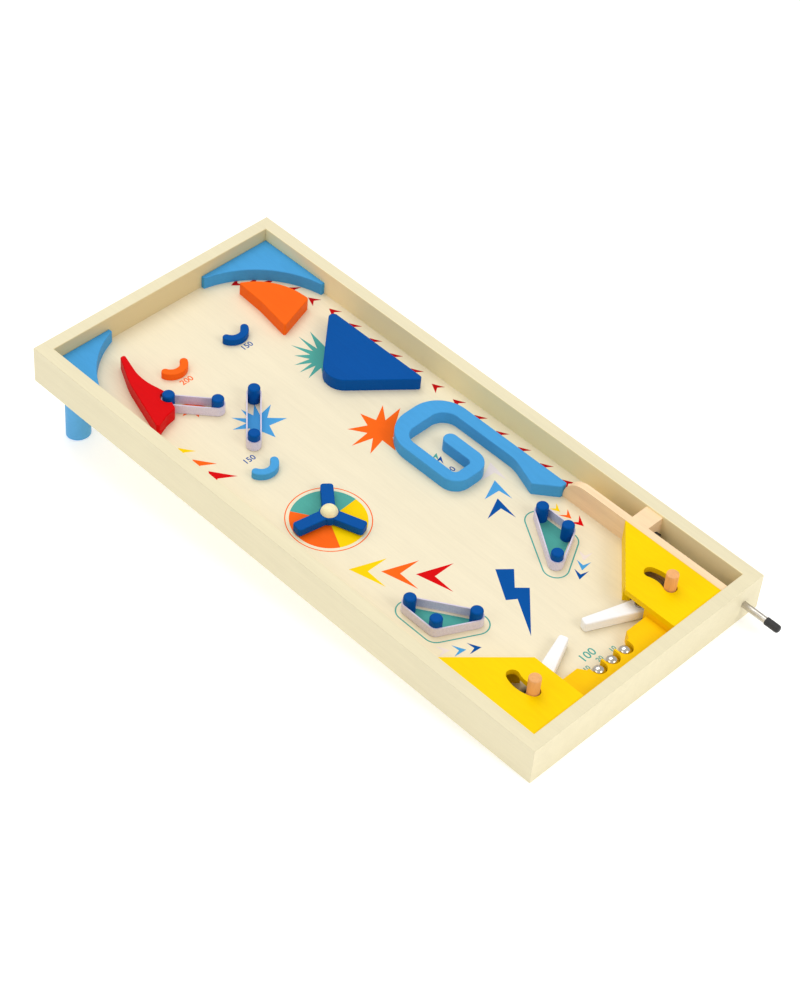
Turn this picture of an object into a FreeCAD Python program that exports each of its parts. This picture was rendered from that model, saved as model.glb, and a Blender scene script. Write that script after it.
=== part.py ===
import FreeCAD, Part
import math
import os

# A bagatelle board game: a shallow wooden tray that leans towards the player on two rear legs.
#
# All sizes are in millimetres. The pieces are built in the board's own directions: x to the
# player's right from the tray's left face, y to the rear from its front face, and z square to
# the playfield, whose top is z = 0. At the end the whole game is leaned back by the angle that
# its legs give it, and set down with the middle of its footprint at the origin.

# Tray
TRAY_WIDTH = 300.0
TRAY_LENGTH = 651.0
WALL_HEIGHT = 42.0
WALL_THICKNESS = 13.7
RIM_EASE = 0.8
PLAYFIELD_DEPTH = 28.3
PANEL_THICKNESS = 5.0
GROOVE_DEPTH = 5.0
PANEL_FIT = 0.1

# Legs
LEG_DIAMETER = 25.0
LEG_INSET = 28.3
LEG_BEVEL = 1.0
BOARD_TILT = 6.2
LEG_BOLT_DIAMETER = 6.0
LEG_BOLT_IN_LEG = 20.0
LEG_BOLT_IN_BLOCK = 9.0
LEG_BOLT_FIT = 0.05

# Wooden shapes that stand on the playfield
BLOCK_HEIGHT = 14.0
BLOCK_EASE = 1.0
FIN_NOTCH_GAP = 2.0
CORNER_ARC_RADIUS = 104.0
CORNER_END_WIDTH = 4.0
CORNER_RIGHT_REACH = 86.0
CORNER_LEFT_REACH = 67.7
OUTER_LANE_WIDTH = 23.0

# Outlines of the upper blocks: distance in from the lane's edge, or from the left wall for the
# fin, then distance forward from the rear wall, then corner radius
ORANGE_OUTLINE = [
    (41.3, 30.5, 1.5),
    (43.5, 65.3, 100.0),
    (50.1, 107.1, 2.0),
    (4.5, 92.5, 3.5),
    (8.2, 50.2, 62.0),
]
WEDGE_OUTLINE = [(0.0, 117.1, 5.0), (77.2, 186.1, 20.8), (0.0, 249.7, 3.0)]
FIN_OUTLINE = [
    (49.8, 37.3, 2.2),
    (55.3, 37.3, 2.2),
    (44.8, 72.3, 60.0),
    (51.3, 101.3, 0.0),
    (43.3, 124.3, 3.0),
    (30.3, 126.8, 20.0),
    (13.3, 133.8, 2.5),
    (33.3, 69.3, 120.0),
]

# The curl: a strip along the lane that turns over the top and hooks back inside itself
CURL_TOP_DISTANCE = 269.6
CURL_WIDTH = 81.3
CURL_LENGTH = 100.7
CURL_BEND = 34.0
CURL_LOW_BEND = 18.0
CURL_TOP_ARM = 19.7
CURL_OUTER_ARM = 12.0
CURL_BOTTOM_ARM = 13.0
CURL_HOOK_WIDTH = 48.8
CURL_HOOK_ARM = 14.3
CURL_HOOK_LENGTH = 54.7
CURL_HOOK_END = 7.0
CURL_HOOK_CORNER = 5.0
CURL_HOLLOW_CORNER = 14.0
CURL_HOLLOW_BEND = 17.0
CURL_LANE_ARM = 13.8
CURL_TAIL_RUN = 53.3
CURL_TAIL_BEND = 40.0
CURL_TAIL_WIDTH = 25.3
CURL_TAIL_SLANT = 21.3
CURL_TAIL_FLAT = 7.5
CURL_TAIL_CORNER = 2.0
CURL_TAIL_EASE = 1.5

# Score cups: side that they are measured from, distance in, distance forward from the rear wall
CUP_HEIGHT = 7.6
CUP_RADIUS = 12.9
CUP_SWEEP = 128.0
CUP_WIDTH = 7.9
CUPS = {
    "cup_dark_blue": ("right", 87.2, 71.0),
    "cup_orange": ("left", 85.5, 69.3),
    "cup_light_blue": ("left", 60.0, 224.3),
}

# Bumpers: dowel posts with an elastic band stretched round them
POST_DIAMETER = 12.0
POST_HEIGHT = 18.3
POST_DOME = 2.0
BAND_THICKNESS = 1.2
BAND_HEIGHT = 10.0
BAND_LIFT = 0.5
REAR_BUMPERS = {
    "a": ("left", [(48.5, 108.4), (79.7, 142.9)]),
    "b": ("left", [(115.5, 154.1), (74.1, 199.3)]),
}
FRONT_BUMPERS = {
    "c": ("right", [(41.0, 182.3), (73.8, 133.5), (40.9, 150.3)]),
    "d": ("left", [(38.1, 183.3), (37.9, 150.7), (71.5, 133.5)]),
}

# Spinner
SPINNER_INSET = 61.6
SPINNER_DISTANCE = 313.7
SPINNER_ARM_COUNT = 3
SPINNER_ARM_LENGTH = 36.5
SPINNER_ARM_WIDTH = 12.0
SPINNER_ARM_CORNER = 3.0
SPINNER_FIRST_ARM = 50.0
SPINNER_HUB_RADIUS = 9.5
SPINNER_THICKNESS = 8.0
SPINNER_CAP_DIAMETER = 16.5
SPINNER_CAP_HEIGHT = 7.0
WASHER_THICKNESS = 1.5
WASHER_DIAMETER = 12.0
RUNNING_GAP = 0.3
PIVOT_DIAMETER = 5.0
PIVOT_CLEARANCE = 0.06
PIVOT_HEAD_DIAMETER = 9.0
PIVOT_HEAD_HEIGHT = 2.0
NUT_ACROSS_CORNERS = 9.2
NUT_HEIGHT = 4.0

# Launch lane and plunger
LANE_WIDTH = 19.8
DIVIDER_THICKNESS = 7.8
DIVIDER_LENGTH = 189.0
DIVIDER_NOSE_RADIUS = 24.0
LANE_RAIL_HEIGHT = 26.0
GUIDE_BLOCK_LENGTH = 19.5
GUIDE_BLOCK_DISTANCE = 94.0
ROD_DIAMETER = 6.5
ROD_CLEARANCE = 0.08
ROD_PROJECTION = 26.5
ROD_BEHIND_GUIDE = 42.0
TIP_DIAMETER = 7.9
TIP_LENGTH = 15.0
TIP_GRIP = 6.0
TIP_PIN_DIAMETER = 5.0
BUFFER_DIAMETER = 13.5
BUFFER_THICKNESS = 4.0
CLIP_DIAMETER = 11.0
CLIP_THICKNESS = 1.0
SPRING_WIRE = 1.0
SPRING_DIAMETER = 10.0
SPRING_PITCH = 5.5

# Covers over the flippers, and the rail that takes the balls
COVER_THICKNESS = 6.0
COVER_WIDTH = 63.8
COVER_SIDE_LENGTH = 115.0
COVER_INNER_LENGTH = 58.3
COVER_WALL_THICKNESS = 7.0
COVER_WALL_SETBACK = 11.0
COVER_BATTEN_WIDTH = 10.0
COVER_CORNER = 1.5
RAIL_DEPTH = 31.5
RAIL_RECESS_DEPTH = 7.0
RAIL_RECESS_WIDTH = 54.0
RAIL_RECESS_CORNER = 6.0
RAIL_LUG_WIDTH = 6.0
RAIL_LUG_LENGTH = 35.0
POCKET_COUNT = 3
POCKET_SPACING = 17.0
POCKET_RADIUS = 7.5
BALL_DIAMETER = 14.0
BALL_GAP = 0.25

# Flippers
FLIPPER_PIVOT_INSETS = {"left": (3.9, 45.6), "right": (7.7, 46.0)}
FLIPPER_THICKNESS = 10.0
FLIPPER_TIP_GAP = 24.5
FLIPPER_ROOT_WIDTH = 16.0
FLIPPER_TIP_WIDTH = 9.0
FLIPPER_REST_ANGLE = 21.0
FLIPPER_CORNER = 2.5
FLIPPER_EASE = 1.6
FLIPPER_TAIL_WIDTH = 15.0
HANDLE_RADIUS = 27.5
HANDLE_REST_ANGLE = 26.0
SLOT_SWEEP = 52.0
SLOT_OVERRUN = 1.5
HANDLE_DIAMETER = 11.6
HANDLE_TOP = 17.5
HANDLE_SEAT = 6.0
HANDLE_ROUND = 1.0
SLOT_CLEARANCE = 0.4
FLIPPER_WASHER_THICKNESS = 0.8

# Places worked out from those sizes
RIM = PLAYFIELD_DEPTH
TRAY_BOTTOM = RIM - WALL_HEIGHT
PANEL_BOTTOM = -PANEL_THICKNESS
INNER_LEFT = WALL_THICKNESS
INNER_RIGHT = TRAY_WIDTH - WALL_THICKNESS
INNER_FRONT = WALL_THICKNESS
INNER_REAR = TRAY_LENGTH - WALL_THICKNESS
LANE_EDGE = INNER_RIGHT - OUTER_LANE_WIDTH
DIVIDER_RIGHT = INNER_RIGHT - LANE_WIDTH
DIVIDER_LEFT = DIVIDER_RIGHT - DIVIDER_THICKNESS
DIVIDER_END = INNER_FRONT + DIVIDER_LENGTH
FIELD_CENTRE = (INNER_LEFT + DIVIDER_LEFT) / 2
LANE_CENTRE = (DIVIDER_RIGHT + INNER_RIGHT) / 2
ROD_HEIGHT = BALL_DIAMETER / 2
GUIDE_FRONT = INNER_FRONT + GUIDE_BLOCK_DISTANCE
GUIDE_REAR = GUIDE_FRONT + GUIDE_BLOCK_LENGTH
COVER_TOP = LANE_RAIL_HEIGHT
COVER_BOTTOM = COVER_TOP - COVER_THICKNESS
FLIPPER_BOTTOM = FLIPPER_WASHER_THICKNESS + RUNNING_GAP
FLIPPER_TOP = FLIPPER_BOTTOM + FLIPPER_THICKNESS
LEG_CENTRES = {
    "left": (LEG_INSET, TRAY_LENGTH - LEG_INSET),
    "right": (TRAY_WIDTH - LEG_INSET, TRAY_LENGTH - LEG_INSET),
}
SPINNER_X = INNER_LEFT + SPINNER_INSET
SPINNER_Y = INNER_REAR - SPINNER_DISTANCE
FLIPPER_PIVOTS = {
    "left": (
        INNER_LEFT + COVER_WIDTH - FLIPPER_PIVOT_INSETS["left"][0],
        INNER_FRONT + FLIPPER_PIVOT_INSETS["left"][1],
    ),
    "right": (
        DIVIDER_LEFT - COVER_WIDTH + FLIPPER_PIVOT_INSETS["right"][0],
        INNER_FRONT + FLIPPER_PIVOT_INSETS["right"][1],
    ),
}
PIVOT_SPACING = FLIPPER_PIVOTS["right"][0] - FLIPPER_PIVOTS["left"][0]
FLIPPER_REACH = (PIVOT_SPACING - FLIPPER_TIP_GAP) / 2 / math.cos(math.radians(FLIPPER_REST_ANGLE))
UP = FreeCAD.Vector(0, 0, 1)
REARWARD = FreeCAD.Vector(0, 1, 0)


def point(x, y, z=0.0):
    return FreeCAD.Vector(x, y, z)


def block(x0, x1, y0, y1, z0, z1):
    """A box between two corners."""
    return Part.makeBox(x1 - x0, y1 - y0, z1 - z0, point(x0, y0, z0))


def dowel(x, y, z0, z1, diameter):
    """A cylinder square to the playfield."""
    return Part.makeCylinder(diameter / 2, z1 - z0, point(x, y, z0), UP)


def shaft(y0, y1, diameter):
    """A cylinder along the launch lane, on the plunger's axis."""
    return Part.makeCylinder(diameter / 2, y1 - y0, point(LANE_CENTRE, y0, ROD_HEIGHT), REARWARD)


def polar(centre, radius, degrees):
    """The point at a distance and an angle from another, seen from above."""
    angle = math.radians(degrees)
    return (centre[0] + radius * math.cos(angle), centre[1] + radius * math.sin(angle))


def rounded_wire(corners, z):
    """A closed outline from (x, y, corner radius) triples, with an arc at each rounded corner."""
    edges = []
    ends = []
    count = len(corners)
    for index, (x, y, radius) in enumerate(corners):
        here = point(x, y, z)
        before = point(corners[index - 1][0], corners[index - 1][1], z)
        after = point(corners[(index + 1) % count][0], corners[(index + 1) % count][1], z)
        if radius == 0:
            ends.append((here, here))
            continue
        towards = (before - here).normalize()
        onwards = (after - here).normalize()
        half = towards.getAngle(onwards) / 2
        tangent = radius / math.tan(half)
        start = here + towards * tangent
        finish = here + onwards * tangent
        centre = here + (towards + onwards).normalize() * (radius / math.sin(half))
        middle = centre + (here - centre).normalize() * radius
        edges.append(Part.Arc(start, middle, finish).toShape())
        ends.append((start, finish))
    for index in range(count):
        leaving = ends[index][1]
        arriving = ends[(index + 1) % count][0]
        if leaving.distanceToPoint(arriving) > 1e-6:
            edges.append(Part.makeLine(leaving, arriving))
    return Part.Wire(Part.__sortEdges__(edges))


def prism(corners, z0, z1):
    """A solid with a rounded outline and upright sides."""
    face = Part.Face(rounded_wire(corners, z0))
    return face.extrude(UP * (z1 - z0))


def ease_top(solid, size):
    """Rounds over the edges of a solid's flat top."""
    top = solid.BoundBox.ZMax
    edges = [edge for edge in solid.Edges if edge.BoundBox.ZMin > top - 1e-4]
    return solid.makeFillet(size, edges)


def mirrored(x):
    """The same place on the other side of the playing area's centre line."""
    return 2 * FIELD_CENTRE - x


def inward(side, distance):
    """The x at a distance in from the left wall, or from the launch lane's edge on the right."""
    return INNER_LEFT + distance if side == "left" else LANE_EDGE - distance


def rear_outline(side, outline):
    """An outline measured in from one side and forward from the rear wall."""
    return [(inward(side, across), INNER_REAR - back, radius) for across, back, radius in outline]


def bumper_places():
    """The places of each bumper's posts, by the bumper's name."""
    places = {}
    for name, (side, posts) in REAR_BUMPERS.items():
        places[name] = [(inward(side, across), INNER_REAR - back) for across, back in posts]
    for name, (side, posts) in FRONT_BUMPERS.items():
        places[name] = [(inward(side, across), INNER_FRONT + ahead) for across, ahead in posts]
    return places


def tray_walls():
    """Four mitred walls, grooved for the panel; the front one is bored for the plunger."""
    width = TRAY_WIDTH
    length = TRAY_LENGTH
    wall = WALL_THICKNESS
    outlines = {
        "front_wall": [(0, 0), (width, 0), (width - wall, wall), (wall, wall)],
        "rear_wall": [(0, length), (wall, length - wall), (width - wall, length - wall), (width, length)],
        "left_wall": [(0, 0), (wall, wall), (wall, length - wall), (0, length)],
        "right_wall": [(width, 0), (width, length), (width - wall, length - wall), (width - wall, wall)],
    }
    groove = block(
        INNER_LEFT - GROOVE_DEPTH,
        INNER_RIGHT + GROOVE_DEPTH,
        INNER_FRONT - GROOVE_DEPTH,
        INNER_REAR + GROOVE_DEPTH,
        PANEL_BOTTOM - PANEL_FIT,
        0,
    )
    walls = {}
    for name, outline in outlines.items():
        solid = prism([(x, y, 0) for x, y in outline], TRAY_BOTTOM, RIM)
        walls[name] = ease_rim(solid).cut(groove)
    bore = shaft(-1, INNER_FRONT + 1, ROD_DIAMETER + 2 * ROD_CLEARANCE)
    walls["front_wall"] = walls["front_wall"].cut(bore)
    return walls


def ease_rim(wall):
    """Rounds a wall's two long top edges, so that the ease runs round the mitres."""
    edges = []
    for edge in wall.Edges:
        box = edge.BoundBox
        along_side = min(box.XLength, box.YLength) < 1e-4
        if box.ZMin > RIM - 1e-4 and along_side:
            edges.append(edge)
    return wall.makeFillet(RIM_EASE, edges)


def playfield_panel():
    """The plywood panel that slides in the walls' grooves, bored for bolts and pivots."""
    reach = GROOVE_DEPTH - PANEL_FIT
    panel = block(
        INNER_LEFT - reach,
        INNER_RIGHT + reach,
        INNER_FRONT - reach,
        INNER_REAR + reach,
        PANEL_BOTTOM,
        0,
    )
    for x, y in LEG_CENTRES.values():
        panel = panel.cut(dowel(x, y, PANEL_BOTTOM, 0, LEG_BOLT_DIAMETER + 2 * LEG_BOLT_FIT))
    for x, y in pivot_places():
        panel = panel.cut(dowel(x, y, PANEL_BOTTOM, 0, PIVOT_DIAMETER + 2 * LEG_BOLT_FIT))
    return panel


def pivot_places():
    """The spinner's axis and the two flippers' axes."""
    return [(SPINNER_X, SPINNER_Y), FLIPPER_PIVOTS["left"], FLIPPER_PIVOTS["right"]]


def leg(side):
    """A dowel square to the board, cut off level with the table that it stands on."""
    x, y = LEG_CENTRES[side]
    length = TRAY_LENGTH * math.sin(math.radians(BOARD_TILT)) + WALL_HEIGHT
    solid = dowel(x, y, PANEL_BOTTOM - length, PANEL_BOTTOM, LEG_DIAMETER)
    bore = LEG_BOLT_DIAMETER + 2 * LEG_BOLT_FIT
    bolt_hole = dowel(x, y, PANEL_BOTTOM - LEG_BOLT_IN_LEG, PANEL_BOTTOM, bore)
    solid = solid.cut(bolt_hole).cut(below_table())
    foot = [edge for edge in solid.Edges if edge.BoundBox.ZMax < PANEL_BOTTOM - LEG_BOLT_IN_LEG - 1]
    rim = [edge for edge in foot if len(edge.Vertexes) == 1 and edge.Length > math.pi * LEG_DIAMETER * 0.9]
    return solid.makeChamfer(LEG_BEVEL, rim)


def below_table():
    """All the space under the table's surface, in the board's directions."""
    size = 2 * TRAY_LENGTH
    space = Part.makeBox(size, size, size, point(-size / 2, -size / 2, -size))
    space.rotate(point(0, 0, 0), point(1, 0, 0), -BOARD_TILT)
    space.translate(point(0, 0, TRAY_BOTTOM))
    return space


def leg_bolts():
    """The hanger bolts that join each leg to the corner block above it."""
    bolts = []
    for x, y in LEG_CENTRES.values():
        bolts.append(dowel(x, y, PANEL_BOTTOM - LEG_BOLT_IN_LEG, LEG_BOLT_IN_BLOCK, LEG_BOLT_DIAMETER))
    return Part.Compound(bolts)


def corner_block(side):
    """A block in a rear corner with a hollow front that turns the ball."""
    reach = {"left": CORNER_LEFT_REACH, "right": CORNER_RIGHT_REACH}[side]
    corner = {"left": INNER_LEFT, "right": INNER_RIGHT}[side]
    way = {"left": 1, "right": -1}[side]
    end = CORNER_END_WIDTH
    outline = [(0, 0, 0), (reach, 0, 0), (reach, end, 0), (end, reach, 0), (0, reach, 0)]
    solid = prism([(corner + way * u, INNER_REAR - v, r) for u, v, r in outline], 0, BLOCK_HEIGHT)
    spread = math.sqrt(2 * CORNER_ARC_RADIUS ** 2 - (reach - end) ** 2)
    centre = (reach + end + spread) / 2
    hollow = dowel(corner + way * centre, INNER_REAR - centre, 0, BLOCK_HEIGHT, 2 * CORNER_ARC_RADIUS)
    x, y = LEG_CENTRES[side]
    bolt_hole = dowel(x, y, 0, LEG_BOLT_IN_BLOCK + PANEL_FIT, LEG_BOLT_DIAMETER + 2 * LEG_BOLT_FIT)
    return ease_top(solid.cut(hollow), BLOCK_EASE).cut(bolt_hole)


def orange_deflector():
    """The five-sided block below the right corner, with a bowed side towards the lane."""
    return ease_top(prism(rear_outline("right", ORANGE_OUTLINE), 0, BLOCK_HEIGHT), BLOCK_EASE)


def blue_deflector():
    """The big wedge whose long side is the launch lane's left wall."""
    return ease_top(prism(rear_outline("right", WEDGE_OUTLINE), 0, BLOCK_HEIGHT), BLOCK_EASE)


def curl_guide():
    """The hook-shaped guide: a lane wall that turns over the top and curls back inside."""
    left = LANE_EDGE - CURL_WIDTH
    top = INNER_REAR - CURL_TOP_DISTANCE
    bottom = top - CURL_LENGTH
    hook_right = left + CURL_HOOK_WIDTH
    hook_left = hook_right - CURL_HOOK_ARM
    hook_top = bottom + CURL_HOOK_LENGTH
    hollow_left = left + CURL_OUTER_ARM
    hollow_top = top - CURL_TOP_ARM
    hollow_bottom = bottom + CURL_BOTTOM_ARM
    strip_left = LANE_EDGE - CURL_LANE_ARM
    tail = DIVIDER_END
    outline = [
        (LANE_EDGE, tail, CURL_TAIL_EASE),
        (LANE_EDGE, top, CURL_BEND),
        (left, top, CURL_BEND),
        (left, bottom, CURL_LOW_BEND),
        (hook_right, bottom, CURL_LOW_BEND),
        (hook_right, hook_top, CURL_HOOK_END),
        (hook_left, hook_top, CURL_HOOK_END),
        (hook_left, hollow_bottom, CURL_HOOK_CORNER),
        (hollow_left, hollow_bottom, CURL_HOOK_CORNER),
        (hollow_left, hollow_top, CURL_HOLLOW_CORNER),
        (strip_left, hollow_top, CURL_HOLLOW_BEND),
        (strip_left, tail + CURL_TAIL_RUN, CURL_TAIL_BEND),
        (LANE_EDGE - CURL_TAIL_WIDTH, tail + CURL_TAIL_SLANT, CURL_TAIL_CORNER),
        (LANE_EDGE - CURL_TAIL_FLAT, tail, CURL_TAIL_CORNER),
    ]
    return ease_top(prism(outline, 0, BLOCK_HEIGHT), BLOCK_EASE)


def fin_guide():
    """The fin at the left, hollowed round the bumper post beside it."""
    solid = ease_top(prism(rear_outline("left", FIN_OUTLINE), 0, BLOCK_HEIGHT), BLOCK_EASE)
    x, y = bumper_places()["a"][0]
    return solid.cut(dowel(x, y, 0, BLOCK_HEIGHT, POST_DIAMETER + 2 * FIN_NOTCH_GAP))


def score_cup(name):
    """A short bowed strip with round ends, hollow to the rear, that stops a ball."""
    side, across, back = CUPS[name]
    x = inward(side, across)
    y = INNER_REAR - back
    outer = CUP_RADIUS + CUP_WIDTH / 2
    ring = dowel(x, y, 0, CUP_HEIGHT, 2 * outer)
    ring = ring.cut(dowel(x, y, 0, CUP_HEIGHT, 2 * (CUP_RADIUS - CUP_WIDTH / 2)))
    ends = [-90 - CUP_SWEEP / 2, -90 + CUP_SWEEP / 2]
    sector = [(x, y)] + [polar((x, y), 3 * outer, angle) for angle in ends]
    cup = ring.common(prism([(u, v, 0) for u, v in sector], 0, CUP_HEIGHT))
    for angle in ends:
        u, v = polar((x, y), CUP_RADIUS, angle)
        cup = cup.fuse(dowel(u, v, 0, CUP_HEIGHT, CUP_WIDTH))
    return ease_top(cup.removeSplitter(), BLOCK_EASE)


def post(place):
    """A bumper's dowel post with a domed top edge."""
    x, y = place
    solid = dowel(x, y, 0, POST_HEIGHT, POST_DIAMETER)
    return ease_top(solid, POST_DOME)


def elastic_band(places):
    """A flat elastic band stretched round the posts of one bumper."""
    z0 = BAND_LIFT
    z1 = BAND_LIFT + BAND_HEIGHT
    inner = stretched_loop(places, POST_DIAMETER / 2, z0, z1)
    outer = stretched_loop(places, POST_DIAMETER / 2 + BAND_THICKNESS, z0, z1)
    return outer.cut(inner)


def stretched_loop(places, radius, z0, z1):
    """The solid inside a loop pulled tight round circles of one radius."""
    solid = dowel(places[0][0], places[0][1], z0, z1, 2 * radius)
    if len(places) > 2:
        solid = solid.fuse(prism([(x, y, 0) for x, y in places], z0, z1))
    for index, (x0, y0) in enumerate(places):
        x1, y1 = places[(index + 1) % len(places)]
        length = math.hypot(x1 - x0, y1 - y0)
        across = ((y1 - y0) / length * radius, (x0 - x1) / length * radius)
        sides = [
            (x0 + across[0], y0 + across[1], 0),
            (x1 + across[0], y1 + across[1], 0),
            (x1 - across[0], y1 - across[1], 0),
            (x0 - across[0], y0 - across[1], 0),
        ]
        solid = solid.fuse(prism(sides, z0, z1)).fuse(dowel(x1, y1, z0, z1, 2 * radius))
    return solid.removeSplitter()


def spinner_rotor():
    """Three arms on a round hub, bored to turn on the spinner's screw."""
    z0 = WASHER_THICKNESS + RUNNING_GAP
    z1 = z0 + SPINNER_THICKNESS
    rotor = dowel(0, 0, z0, z1, 2 * SPINNER_HUB_RADIUS)
    half = SPINNER_ARM_WIDTH / 2
    end = SPINNER_ARM_LENGTH
    corner = SPINNER_ARM_CORNER
    outline = [(0, -half, 0), (end, -half, corner), (end, half, corner), (0, half, 0)]
    for index in range(SPINNER_ARM_COUNT):
        arm = prism(outline, z0, z1)
        arm.rotate(point(0, 0, 0), UP, SPINNER_FIRST_ARM + index * 360.0 / SPINNER_ARM_COUNT)
        rotor = rotor.fuse(arm)
    rotor = ease_top(rotor.removeSplitter(), BLOCK_EASE)
    rotor = rotor.cut(dowel(0, 0, z0, z1, PIVOT_DIAMETER + 2 * PIVOT_CLEARANCE))
    rotor.translate(point(SPINNER_X, SPINNER_Y))
    return rotor


def spinner_cap():
    """A domed wooden button pressed on the head of the spinner's screw."""
    z0 = WASHER_THICKNESS + 2 * RUNNING_GAP + SPINNER_THICKNESS
    radius = SPINNER_CAP_DIAMETER / 2
    sphere_radius = (radius ** 2 + SPINNER_CAP_HEIGHT ** 2) / (2 * SPINNER_CAP_HEIGHT)
    centre = point(SPINNER_X, SPINNER_Y, z0 + SPINNER_CAP_HEIGHT - sphere_radius)
    ball = Part.makeSphere(sphere_radius, centre)
    room = dowel(SPINNER_X, SPINNER_Y, z0, z0 + SPINNER_CAP_HEIGHT, SPINNER_CAP_DIAMETER)
    seat = dowel(SPINNER_X, SPINNER_Y, z0, z0 + PIVOT_HEAD_HEIGHT, PIVOT_HEAD_DIAMETER)
    return ball.common(room).cut(seat)


def pivot_screw(x, y, head_bottom):
    """A pivot screw: a plain shank under a flat head, down to the nut below the panel."""
    shank = dowel(x, y, PANEL_BOTTOM - NUT_HEIGHT - 1, head_bottom, PIVOT_DIAMETER)
    head = dowel(x, y, head_bottom, head_bottom + PIVOT_HEAD_HEIGHT, PIVOT_HEAD_DIAMETER)
    return shank.fuse(head).removeSplitter()


def washer(x, y, thickness):
    """A flat washer on the playfield round a pivot screw."""
    ring = dowel(x, y, 0, thickness, WASHER_DIAMETER)
    return ring.cut(dowel(x, y, 0, thickness, PIVOT_DIAMETER + 2 * PIVOT_CLEARANCE))


def pivot_nuts():
    """The hexagon nuts that hold the three pivot screws under the panel."""
    nuts = []
    hole = PIVOT_DIAMETER + 2 * LEG_BOLT_FIT
    for x, y in pivot_places():
        corners = [polar((x, y), NUT_ACROSS_CORNERS / 2, 60 * index) + (0,) for index in range(6)]
        nut = prism(corners, PANEL_BOTTOM - NUT_HEIGHT, PANEL_BOTTOM)
        nuts.append(nut.cut(dowel(x, y, PANEL_BOTTOM - NUT_HEIGHT, PANEL_BOTTOM, hole)))
    return Part.Compound(nuts)


def lane_divider():
    """The tall strip beside the launch lane, with its rear top corner rounded off."""
    strip = block(DIVIDER_LEFT, DIVIDER_RIGHT, INNER_FRONT, DIVIDER_END, 0, LANE_RAIL_HEIGHT)
    nose = [
        edge
        for edge in strip.Edges
        if edge.BoundBox.YMin > DIVIDER_END - 1e-4 and edge.BoundBox.ZMin > LANE_RAIL_HEIGHT - 1e-4
    ]
    return strip.makeFillet(DIVIDER_NOSE_RADIUS, nose)


def plunger_guide_block():
    """The block across the lane that the plunger's rod slides in."""
    solid = block(DIVIDER_RIGHT, INNER_RIGHT, GUIDE_FRONT, GUIDE_REAR, 0, LANE_RAIL_HEIGHT)
    return solid.cut(shaft(GUIDE_FRONT, GUIDE_REAR, ROD_DIAMETER + 2 * ROD_CLEARANCE))


def plunger_rod():
    """The steel rod, with a rounded striking end in the lane."""
    rod = shaft(-ROD_PROJECTION, GUIDE_REAR + ROD_BEHIND_GUIDE, ROD_DIAMETER)
    striker = [edge for edge in rod.Edges if edge.BoundBox.YMin > GUIDE_REAR]
    pin = shaft(-ROD_PROJECTION - TIP_GRIP, -ROD_PROJECTION, TIP_PIN_DIAMETER)
    return rod.makeFillet(ROD_DIAMETER / 5, striker).fuse(pin).removeSplitter()


def plunger_tip():
    """The rubber cap on the end of the rod that the player pulls."""
    y1 = -ROD_PROJECTION
    cap = shaft(y1 - TIP_LENGTH, y1, TIP_DIAMETER)
    end = [edge for edge in cap.Edges if edge.BoundBox.YMax < y1 - TIP_LENGTH + 1e-4]
    return cap.makeFillet(TIP_DIAMETER / 3, end).cut(shaft(y1 - TIP_GRIP, y1, TIP_PIN_DIAMETER))


def plunger_buffer():
    """The rubber ring on the rod that lands on the guide block."""
    y1 = GUIDE_FRONT - RUNNING_GAP
    ring = shaft(y1 - BUFFER_THICKNESS, y1, BUFFER_DIAMETER)
    return ring.cut(shaft(y1 - BUFFER_THICKNESS, y1, ROD_DIAMETER))


def plunger_clip():
    """The steel retaining ring on the rod between the buffer and the spring."""
    y1 = GUIDE_FRONT - RUNNING_GAP - BUFFER_THICKNESS
    ring = shaft(y1 - CLIP_THICKNESS, y1, CLIP_DIAMETER)
    return ring.cut(shaft(y1 - CLIP_THICKNESS, y1, ROD_DIAMETER))


def plunger_spring():
    """The coil spring round the rod, between the front wall and the retaining ring."""
    y0 = INNER_FRONT + SPRING_WIRE / 2
    y1 = GUIDE_FRONT - RUNNING_GAP - BUFFER_THICKNESS - CLIP_THICKNESS - SPRING_WIRE / 2
    radius = (SPRING_DIAMETER - SPRING_WIRE) / 2
    path = Part.makeHelix(SPRING_PITCH, y1 - y0, radius)
    section = Part.Wire(Part.makeCircle(SPRING_WIRE / 2, point(radius, 0, 0), REARWARD))
    coil = Part.Wire(path).makePipeShell([section], True, False)
    coil.rotate(point(0, 0, 0), point(1, 0, 0), -90)
    coil.translate(point(LANE_CENTRE, y0, ROD_HEIGHT))
    return coil


def cover_outline(corner):
    """The outline of the left flipper cover: square at the side wall, cut off towards the middle."""
    inner = INNER_LEFT + COVER_WIDTH
    return [
        (INNER_LEFT, INNER_FRONT, 0),
        (inner, INNER_FRONT, 0),
        (inner, INNER_FRONT + COVER_INNER_LENGTH, corner),
        (INNER_LEFT, INNER_FRONT + COVER_SIDE_LENGTH, 0),
    ]


def flipper_cover(side):
    """The plate over a flipper's pivot, with the curved slot that its handle moves in."""
    plate = ease_top(prism(cover_outline(COVER_CORNER), COVER_BOTTOM, COVER_TOP), BLOCK_EASE / 2)
    return on_side(plate, side).cut(handle_slot(side))


def handle_slot(side):
    """The solid that a cover's slot takes away: an arc about the flipper's pivot with round ends."""
    width = HANDLE_DIAMETER + 2 * SLOT_CLEARANCE
    first = 180 + HANDLE_REST_ANGLE + SLOT_OVERRUN
    last = first - SLOT_SWEEP
    slot = Part.makeCylinder(HANDLE_RADIUS + width / 2, COVER_THICKNESS, point(0, 0, 0), UP, SLOT_SWEEP)
    slot = slot.cut(Part.makeCylinder(HANDLE_RADIUS - width / 2, COVER_THICKNESS))
    slot.rotate(point(0, 0, 0), UP, last)
    for angle in (first, last):
        x, y = polar((0, 0), HANDLE_RADIUS, angle)
        slot = slot.fuse(dowel(x, y, 0, COVER_THICKNESS, width))
    slot.translate(point(0, 0, COVER_BOTTOM))
    return at_pivot(slot, side)


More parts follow.
